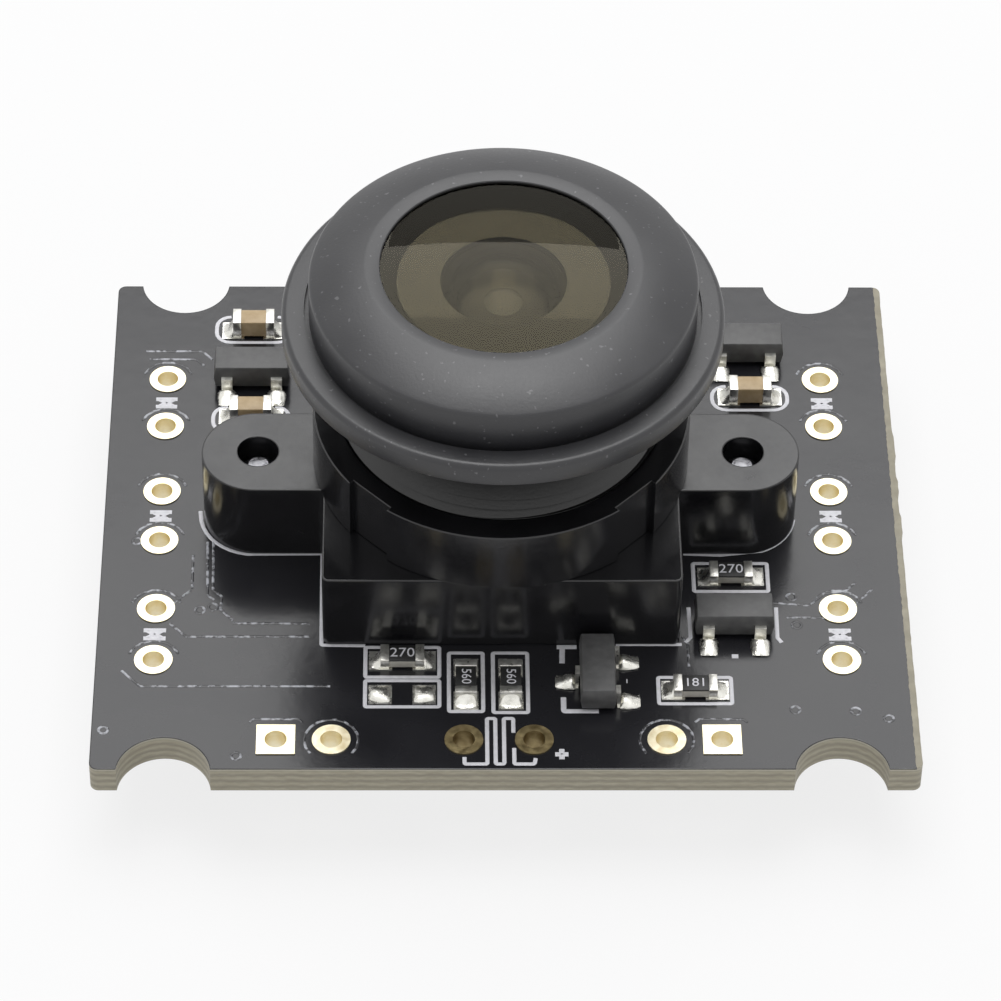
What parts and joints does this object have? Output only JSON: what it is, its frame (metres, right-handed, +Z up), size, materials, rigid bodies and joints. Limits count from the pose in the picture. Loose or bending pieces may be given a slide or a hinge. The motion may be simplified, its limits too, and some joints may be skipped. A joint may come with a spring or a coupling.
{
  "type": "camera module",
  "caption": "Small black circuit board with half-round corner notches, a moulded lens holder with two ears and a domed wide-angle lens.",
  "frame": {"origin": "on the surface it stands on, under the middle of the board", "axes": "+Z up along the lens axis, +X to the right along the board's long side, +Y to the back edge, where the USB socket opens underneath"},
  "size_m": [0.03, 0.025, 0.0177],
  "materials": {
    "board_lacquer": "glossy black solder lacquer over a glass-epoxy board with bare olive edges",
    "gold_plate": "pale gold plate",
    "bronze_plate": "dull darkened plate",
    "solder": "bright tin solder",
    "holder_plastic": "glossy black moulded plastic",
    "screw_steel": "dark plated steel",
    "anodised_aluminium": "matt black anodised",
    "coated_glass": "clear glass with an olive-tinted coating",
    "clear_glass": "clear polished glass",
    "filter_glass": "pale blue-green filter glass",
    "black_spacer": "flat black",
    "sensor_ceramic": "dark ceramic package",
    "silicon": "polished silicon with a faint colour sheen",
    "resistor_glaze": "black glaze on white ceramic",
    "capacitor_ceramic": "tan ceramic",
    "tinned_metal": "bright tin plate",
    "chip_epoxy": "black moulded epoxy",
    "nickel_can": "drawn nickel-plated can",
    "socket_nylon": "natural cream nylon"
  },
  "bodies": {
    "root": {"circuit_board": "board_lacquer", "led_holes": "gold_plate", "wire_holes": "gold_plate", "light_sensor_holes": "bronze_plate", "face_pads": "solder", "underside_pads": "solder", "lens_holder": "holder_plastic", "holder_screws": "screw_steel", "lens_barrel": "anodised_aluminium", "front_element": "coated_glass", "front_spacer": "black_spacer", "second_element": "clear_glass", "aperture_stop": "black_spacer", "third_element": "clear_glass", "fourth_element": "clear_glass", "rear_spacer": "black_spacer", "infrared_filter": "filter_glass", "image_sensor": "sensor_ceramic", "sensor_chip": "silicon", "sensor_window": "clear_glass", "resistor_left": "resistor_glaze", "resistor_right": "resistor_glaze", "resistor_front": "resistor_glaze", "resistor_upright_1": "resistor_glaze", "resistor_upright_2": "resistor_glaze", "resistor_ends": "tinned_metal", "capacitor_back": "capacitor_ceramic", "capacitor_left": "capacitor_ceramic", "capacitor_right": "capacitor_ceramic", "capacitor_ends": "tinned_metal", "transistor_left": "chip_epoxy", "transistor_right": "chip_epoxy", "transistor_upright": "chip_epoxy", "transistor_front": "chip_epoxy", "transistor_legs": "tinned_metal", "video_chip": "chip_epoxy", "video_chip_legs": "tinned_metal", "memory_chip": "chip_epoxy", "memory_chip_legs": "tinned_metal", "regulator": "chip_epoxy", "regulator_legs": "tinned_metal", "under_capacitors": "capacitor_ceramic", "under_resistors": "resistor_glaze", "under_chip_ends": "tinned_metal", "crystal_can": "nickel_can", "crystal_base": "chip_epoxy", "crystal_leads": "tinned_metal", "usb_socket": "socket_nylon", "usb_contacts": "gold_plate", "usb_anchors": "tinned_metal"}
  },
  "joints": []
}
